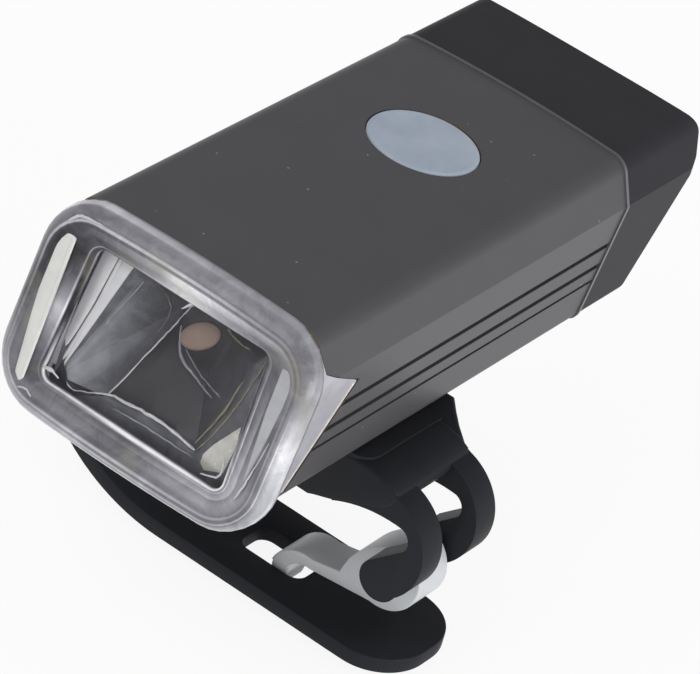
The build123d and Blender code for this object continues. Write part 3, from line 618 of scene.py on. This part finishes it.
# reflector: a faceted bowl in a flat flange, drawn in the lens's frame, depths counted backwards
# each row is a crease: its rim point, its floor point, the tones of painted reflection and shade at the rim and at
# the floor
bowlPlan = (
    (-6.0, 11.5, -2.2, 7.5, 0.30, 0.12),
    (-8.0, 8.2, -2.8, 6.0, 0.34, 0.20),
    (-11.2, -1.0, -3.5, 4.7, 0.52, 0.24),
    (-14.5, -10.2, -4.2, 3.5, 0.64, 0.27),
    (-12.9, -11.2, -4.2, 2.6, 0.62, 0.26),
    (-11.4, -11.4, -4.0, 2.0, 0.52, 0.24),
    (-6.5, -8.85, -3.72, 1.3, 0.34, 0.20),
    (-6.35, -8.8, -3.65, 1.26, 0.10, 0.05),
    (-4.1, -8.7, -2.8, 0.2, 0.08, 0.05),
    (0.4, -8.0, -1.5, -0.9, 0.07, 0.09),
    (5.3, -8.2, 1.0, -1.6, 0.16, 0.08),
    (9.0, -8.85, 3.5, -1.8, 0.26, 0.08),
    (9.15, -8.8, 3.6, -1.76, 0.24, 0.18),
    (11.2, -1.0, 4.4, 1.0, 0.28, 0.20),
    (12.1, 2.5, 4.8, 3.0, 0.28, 0.20),
    (12.0, 6.3, 4.6, 5.0, 0.22, 0.16),
    (13.9, 9.6, 4.4, 6.5, 0.08, 0.06),
    (14.5, 11.5, 3.5, 7.6, 0.08, 0.05),
)
bowlDepths = {"rim": 2.2, "floor": 7.9, "steps": 6}
lipGrowth = (1.06, 1.08)
# levels of painted reflection on the flat flange and on the lip
flatTones = {"flange": 0.42, "lip": 0.36}
flangeOutline = {"halfTop": 17.4, "halfFoot": 17.4, "top": 13.2, "foot": -13.2, "topRound": 2.5, "footRound": 2.5,
                 "crown": 0.0}


def pointLoop(shape, places, paintedLevels, paintedLightLayer):
    verts = [shape.verts.new(place) for place in places]
    for v, paintedLight in zip(verts, paintedLevels):
        v[paintedLightLayer] = paintedLight
    return verts


def closedEdges(shape, verts):
    pairs = [(verts[i - 1], verts[i]) for i in range(len(verts))]
    return [shape.edges.get(pair) or shape.edges.new(pair) for pair in pairs]


def buildReflector():
    shape = bmesh.new()
    paintedLightLayer = shape.verts.layers.float.new("paintedLight")
    face = outlineFace(shape, flangeOutline, -bowlDepths["rim"])
    for v in face.verts:
        v[paintedLightLayer] = flatTones["flange"]
    outer = list(face.edges)
    bmesh.ops.delete(shape, geom=[face], context="FACES_ONLY")
    lip = [(x * lipGrowth[0], up * lipGrowth[1], -bowlDepths["rim"]) for x, up, *others in bowlPlan]
    loops = [pointLoop(shape, lip, [flatTones["lip"]] * len(lip), paintedLightLayer)]
    for step in range(bowlDepths["steps"] + 1):
        share = step / bowlDepths["steps"]
        deep = bowlDepths["rim"] * (1 - share) + bowlDepths["floor"] * share
        places = [(x + (floorX - x) * share, up + (floorUp - up) * share, -deep)
                  for x, up, floorX, floorUp, *others in bowlPlan]
        # painted reflection and shade, blended from the rim's level to the floor's
        paintedLevels = [rimTone + (floorTone - rimTone) * share for *ends, rimTone, floorTone in bowlPlan]
        loops.append(pointLoop(shape, places, paintedLevels, paintedLightLayer))
    bmesh.ops.bridge_loops(shape, edges=outer + closedEdges(shape, loops[0]))
    for first, second in zip(loops, loops[1:]):
        for here in range(len(first)):
            shape.faces.new((first[here - 1], first[here], second[here], second[here - 1]))
            shape.edges.get((first[here], second[here])).smooth = False
    floor = bmesh.ops.holes_fill(shape, edges=closedEdges(shape, loops[-1]), sides=0)
    bmesh.ops.recalc_face_normals(shape, faces=shape.faces)
    if floor["faces"][0].normal.z < 0:
        bmesh.ops.reverse_faces(shape, faces=shape.faces)
    piece = finishPiece("reflectorBowl", shape, lensFrame, facetedMetal, "lamp", closed=False)
    wall = piece.modifiers.new("wall", "SOLIDIFY")
    wall.thickness = 0.5 * mm
    wall.offset = -1.0
    return piece


# crests between the facets, coloured with painted highlights and painted reflections: points as across, up and depth,
# with a radius at each
crestPlan = {
    "reflectorRidge": (paintedWhiteHighlight, ((-6.4, -8.8, 2.2, 0.13), (-5.0, -3.7, 4.65, 0.12), (-3.7, 1.2, 7.0, 0.12),
                                    (-2.9, 3.6, 7.1, 0.09), (-2.0, 6.0, 7.0, 0.16), (-1.4, 6.9, 6.9, 0.34))),
    "reflectorSill": (paintedWhiteHighlight, ((-14.4, -10.2, 2.15, 0.06), (-12.9, -11.2, 2.15, 0.1), (-11.4, -11.35, 2.15, 0.08),
                                   (-6.4, -8.8, 2.15, 0.14), (-4.1, -8.65, 2.1, 0.2), (0.4, -8.0, 2.05, 0.24),
                                   (5.3, -8.2, 2.05, 0.26), (9.1, -8.8, 2.1, 0.14))),
    "reflectorStep": (paintedCoolReflection, ((-5.0, -10.3, 2.15, 0.05), (-3.4, -10.2, 2.1, 0.1), (1.3, -9.9, 2.1, 0.12),
                                  (6.2, -10.0, 2.1, 0.1), (9.0, -9.9, 2.15, 0.05))),
    "reflectorEdgeLeft": (paintedCoolReflection, ((-8.0, 8.0, 2.15, 0.1), (-11.2, -1.0, 2.15, 0.09), (-14.4, -9.9, 2.15, 0.09))),
    "reflectorGoldReflectionOuter": (paintedGoldReflection, ((9.35, -8.5, 2.1, 0.08), (11.05, -4.9, 2.1, 0.1), (12.45, 0.0, 2.1, 0.12),
                                       (13.15, 3.5, 2.1, 0.12), (13.75, 7.2, 2.1, 0.1), (13.95, 9.2, 2.1, 0.08))),
    "reflectorGoldReflectionInner": (paintedGoldReflection, ((8.65, -8.0, 2.1, 0.07), (10.15, -4.2, 2.1, 0.1), (11.15, -0.8, 2.1, 0.2),
                                       (11.35, 1.7, 2.1, 0.12), (11.85, 3.6, 2.1, 0.06))),
    "reflectorWaveReflectionLeft": (paintedCoolReflection, ((-2.2, 2.7, 6.4, 0.08), (-1.6, 0.3, 6.3, 0.14), (0.0, -1.5, 6.2, 0.18),
                                      (2.2, -2.0, 6.0, 0.14), (4.7, -2.9, 5.7, 0.1), (7.3, -2.5, 4.4, 0.08))),
    "reflectorWaveReflectionLow": (paintedCoolReflection, ((-0.2, 0.1, 6.4, 0.06), (3.3, -1.6, 5.9, 0.06), (6.4, -2.0, 5.3, 0.08),
                                     (8.6, -1.6, 4.0, 0.08))),
    "reflectorWaveReflectionRight": (paintedGoldReflection, ((5.2, 7.0, 5.0, 0.16), (6.3, 6.4, 5.0, 0.14), (8.4, 6.2, 4.6, 0.1),
                                       (10.7, 6.8, 4.0, 0.12), (12.2, 7.4, 3.4, 0.1))),
    "reflectorContour": (paintedOliveReflection, ((-8.2, 6.6, 4.0, 0.12), (-6.4, 7.2, 4.4, 0.16), (-4.7, 6.4, 4.6, 0.16),
                                      (-3.9, 4.8, 5.0, 0.14), (-3.9, 2.8, 5.2, 0.12), (-4.6, 0.7, 5.0, 0.08))),
}


waverPitch = 1.7


# a thread of changing thickness along points, its surface wavering a little where it is cast or moulded
def buildCrest(name, material, points, place=lensFrame, waver=0.16):
    line = bpy.data.curves.new(name, "CURVE")
    line.dimensions = "3D"
    line.bevel_depth = 1.0
    line.bevel_resolution = 2
    line.use_fill_caps = True
    run = line.splines.new("NURBS")
    run.points.add(len(points) - 1)
    for knot, (x, up, deep, radius) in zip(run.points, points):
        knot.co = (x, up, -deep, 1)
        knot.radius = radius
    run.use_endpoint_u = True
    run.order_u = 3
    run.resolution_u = 6
    pattern = bpy.data.objects.new(name + "Line", line)
    scene.collection.objects.link(pattern)
    bpy.context.view_layer.update()
    mesh = bpy.data.meshes.new_from_object(pattern.evaluated_get(bpy.context.evaluated_depsgraph_get()))
    bpy.data.objects.remove(pattern)
    shape = bmesh.new()
    shape.from_mesh(mesh)
    bpy.data.meshes.remove(mesh)
    bmesh.ops.remove_doubles(shape, verts=shape.verts, dist=0.001)
    for v in shape.verts:
        v.co += noise.noise_vector(v.co * waverPitch) * waver
    return finishPiece(name, shape, place, material, "lamp")


# emitter: a low dome as the window's refraction shows it, wide and turned a little
domeStretch = Matrix(((2.85, 0.6, 0, 0.45), (1.7, -1.95, 0, 1.95), (0, 0, 0.55, -7.75), (0, 0, 0, 1)))


def buildEmitter():
    shape = bmesh.new()
    bmesh.ops.create_icosphere(shape, subdivisions=4, radius=1.0)
    bmesh.ops.transform(shape, matrix=domeStretch, verts=shape.verts)
    return finishPiece("emitterDome", shape, lensFrame, phosphor, "lamp")


# a bright patch of painted highlight in the bowl's lower right corner: across and up
patchCorners = ((10.5, -8.6), (11.4, -6.6), (14.2, -2.2), (14.6, -4.4), (14.7, -5.6), (14.4, -9.4), (11.5, -10.6),
                (10.6, -9.9))

print("reflector")
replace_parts(buildReflector(), "reflector")
for name, (material, points) in crestPlan.items():
    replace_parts(buildCrest(name, material, points), "reflector")
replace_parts(buildSlab("reflectorHighlightPatch", patchCorners, -2.02, 0.16, paintedHighlightPatch, 0.05), "reflector")
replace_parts(buildEmitter(), "led_emitter")

# painted highlights in the lens's corners and along its right facet, as pale threads on the moulding's own surface
glintPlan = {
    "lensGlintTopLeft": ((-20.2, 12.3, -2.1, 0.1), (-19.6, 13.3, -2.15, 0.2), (-18.6, 14.1, -2.15, 0.24),
                         (-17.0, 14.4, -2.15, 0.16), (-14.9, 14.5, -2.15, 0.06)),
    "lensGlintFootLeft": ((-18.6, -12.9, -1.95, 0.08), (-17.4, -12.2, -2.0, 0.14), (-16.2, -12.3, -1.85, 0.16),
                          (-15.0, -13.1, -1.9, 0.08)),
    "lensGlintTop": ((0.1, 9.2, -0.2, 0.08), (0.8, 10.1, -0.25, 0.3), (1.4, 10.7, -0.3, 0.1)),
    "lensGlintPrism": ((-16.4, -9.2, -0.2, 0.1), (-15.6, -9.0, -0.25, 0.34), (-14.6, -8.9, -0.2, 0.22),
                       (-13.4, -9.4, -0.2, 0.08)),
    "lensGlintTopRight": ((18.3, 12.5, -1.85, 0.08), (19.2, 12.5, -1.9, 0.26), (20.2, 12.1, -1.95, 0.12),
                          (20.9, 11.2, -1.95, 0.05)),
    "lensGlintPatch": ((14.6, -5.8, -0.1, 0.08), (15.1, -7.2, -0.1, 0.12), (15.2, -8.6, -0.1, 0.2),
                       (13.9, -9.4, -0.1, 0.14), (12.3, -9.7, -0.1, 0.1)),
    "lensGlintFacet": ((19.2, -9.0, -2.0, 0.08), (19.7, -7.4, -2.0, 0.2), (20.4, -2.9, -2.0, 0.08),
                       (21.2, 3.6, -2.0, 0.07), (21.5, 8.3, -2.0, 0.05)),
}
for name, points in glintPlan.items():
    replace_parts(buildCrest(name, paintedGlintMoulding, points, waver=0.1), "front_lens")

# the shell's cut edge shows bare beside the wings, its near-white line bare metal with a painted highlight, with a
# dark seam of painted shade behind it: across, up and back
wingEdge = ((22.43, 19.3, 13.94), (21.93, 15.5, 12.2), (21.42, 11.5, 10.4), (20.9, 7.6, 8.6), (20.2, 2.1, 6.05))
sideFrame = Matrix.Scale(mm, 4) @ Matrix((
    (1, 0, 0, 0),
    (0, 0, -1, lampOrigin.y),
    (0, 1, 0, lampOrigin.z),
    (0, 0, 0, 1)))
# material, how far behind the wing's edge, radius, how far outward
seamPlan = {
    "shellCutEdge": (bareMetalWithHighlight, 0.07, 0.15, 0.0),
    "shellCutSeam": (seamShade, 0.62, 0.55, -0.33),
}
for name, (material, behind, radius, outward) in seamPlan.items():
    for side, hand in ((1, "Right"), (-1, "Left")):
        seam = [(side * (x + outward), up, deep + behind, radius) for x, up, deep in wingEdge]
        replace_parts(buildCrest(name + hand, material, seam, sideFrame, 0.0), "front_lens")

print("camera and light")
camera = bpy.data.objects.new("camera", bpy.data.cameras.new("camera"))
scene.collection.objects.link(camera)
camera.data.sensor_width = 36.0
camera.data.lens = 228.4
camera.data.clip_start = 0.01
camera.data.clip_end = 20.0
camera.matrix_world = Matrix((
    (0.7774, -0.4889, 0.3957, 0.2570),
    (0.5882, 0.3423, -0.7327, -0.4617),
    (0.2228, 0.8024, 0.5537, 0.3633),
    (0, 0, 0, 1)))
scene.camera = camera

scene.view_settings.view_transform = "Standard"


def softbox(name, place, target, size, energy):
    lamp = bpy.data.lights.new(name, "AREA")
    lamp.shape = "RECTANGLE"
    lamp.size, lamp.size_y = size
    lamp.energy = energy
    item = bpy.data.objects.new(name, lamp)
    scene.collection.objects.link(item)
    item.location = place
    item.rotation_euler = (Vector(target) - Vector(place)).to_track_quat("-Z", "Y").to_euler()


# place, target, size in metres and power in watts
lights = {
    "keyBox": ((-0.35, -0.75, 1.0), (0, 0, 0), (0.7, 0.7), 4.4),
    "sideBox": ((1.0, -0.25, 0.12), (0, 0, 0), (0.6, 0.6), 7.0),
}
for name, (place, target, size, energy) in lights.items():
    softbox(name, place, target, size, energy)

# world: white for the camera, paler at the horizon than overhead in what mirrors or passes it
world = bpy.data.worlds.new("studio")
scene.world = world
world.use_nodes = True
tree = world.node_tree
tree.nodes.clear()
direction = addNode(tree, "ShaderNodeTexCoord").outputs["Generated"]
height = addNode(tree, "ShaderNodeSeparateXYZ", {}, {0: direction}).outputs["Z"]
ceiling = addNode(tree, "ShaderNodeMapRange", {"interpolation_type": "SMOOTHSTEP", "From Min": 0.0, "From Max": 0.42,
                  "To Min": 0.85, "To Max": 0.19}, {"Value": height})
ray = addNode(tree, "ShaderNodeLightPath")
seen = addNode(tree, "ShaderNodeMath", {"operation": "MAXIMUM"},
               {0: ray.outputs["Is Glossy Ray"], 1: ray.outputs["Is Transmission Ray"]})
studio = addNode(tree, "ShaderNodeMix", {"data_type": "FLOAT", 2: 0.62}, {0: seen.outputs[0], 3: ceiling.outputs[0]})
backdrop = addNode(tree, "ShaderNodeMix", {"data_type": "FLOAT", 3: 1.0},
                   {0: ray.outputs["Is Camera Ray"], 2: studio.outputs[0]})
glow = addNode(tree, "ShaderNodeBackground", {"Color": (1, 1, 1, 1)}, {"Strength": backdrop.outputs[0]})
addNode(tree, "ShaderNodeOutputWorld", {}, {"Surface": glow.outputs[0]})

# floor: pale, just under the strap, near white to the camera with a faint shadow
floorGap = 0.4 * mm
floorMesh = bpy.data.meshes.new("floor")
sheet = bmesh.new()
bmesh.ops.create_grid(sheet, x_segments=1, y_segments=1, size=3.0)
bmesh.ops.translate(sheet, verts=sheet.verts, vec=(0, 0, cadBox[0].z - floorGap))
sheet.to_mesh(floorMesh)
sheet.free()
floor = bpy.data.objects.new("floor", floorMesh)
scene.collection.objects.link(floor)
floorPaper = bpy.data.materials.new("floorPaper")
floorPaper.use_nodes = True
floorPaper.cycles.emission_sampling = "NONE"
tree = floorPaper.node_tree
shader = tree.nodes["Principled BSDF"]
shader.inputs["Base Color"].default_value = toLinear("#f4f4f4")
shader.inputs["Roughness"].default_value = 0.9
shader.inputs["Specular IOR Level"].default_value = 0.1
ray = addNode(tree, "ShaderNodeLightPath")
white = addNode(tree, "ShaderNodeEmission", {"Color": (1, 1, 1, 1), "Strength": 1.0})
mirrored = addNode(tree, "ShaderNodeMath", {"operation": "MAXIMUM"},
                   {0: ray.outputs["Is Glossy Ray"], 1: ray.outputs["Is Transmission Ray"]})
shown = addNode(tree, "ShaderNodeMath", {"operation": "MAXIMUM"},
                {0: ray.outputs["Is Camera Ray"], 1: mirrored.outputs[0]})
share = addNode(tree, "ShaderNodeMath", {"operation": "MULTIPLY", 1: 0.9}, {0: shown.outputs[0]})
mixed = addNode(tree, "ShaderNodeMixShader", {}, {0: share.outputs[0], 1: shader.outputs[0], 2: white.outputs[0]})
tree.links.new(mixed.outputs[0], tree.nodes["Material Output"].inputs["Surface"])
floorMesh.materials.append(floorPaper)

print("done")
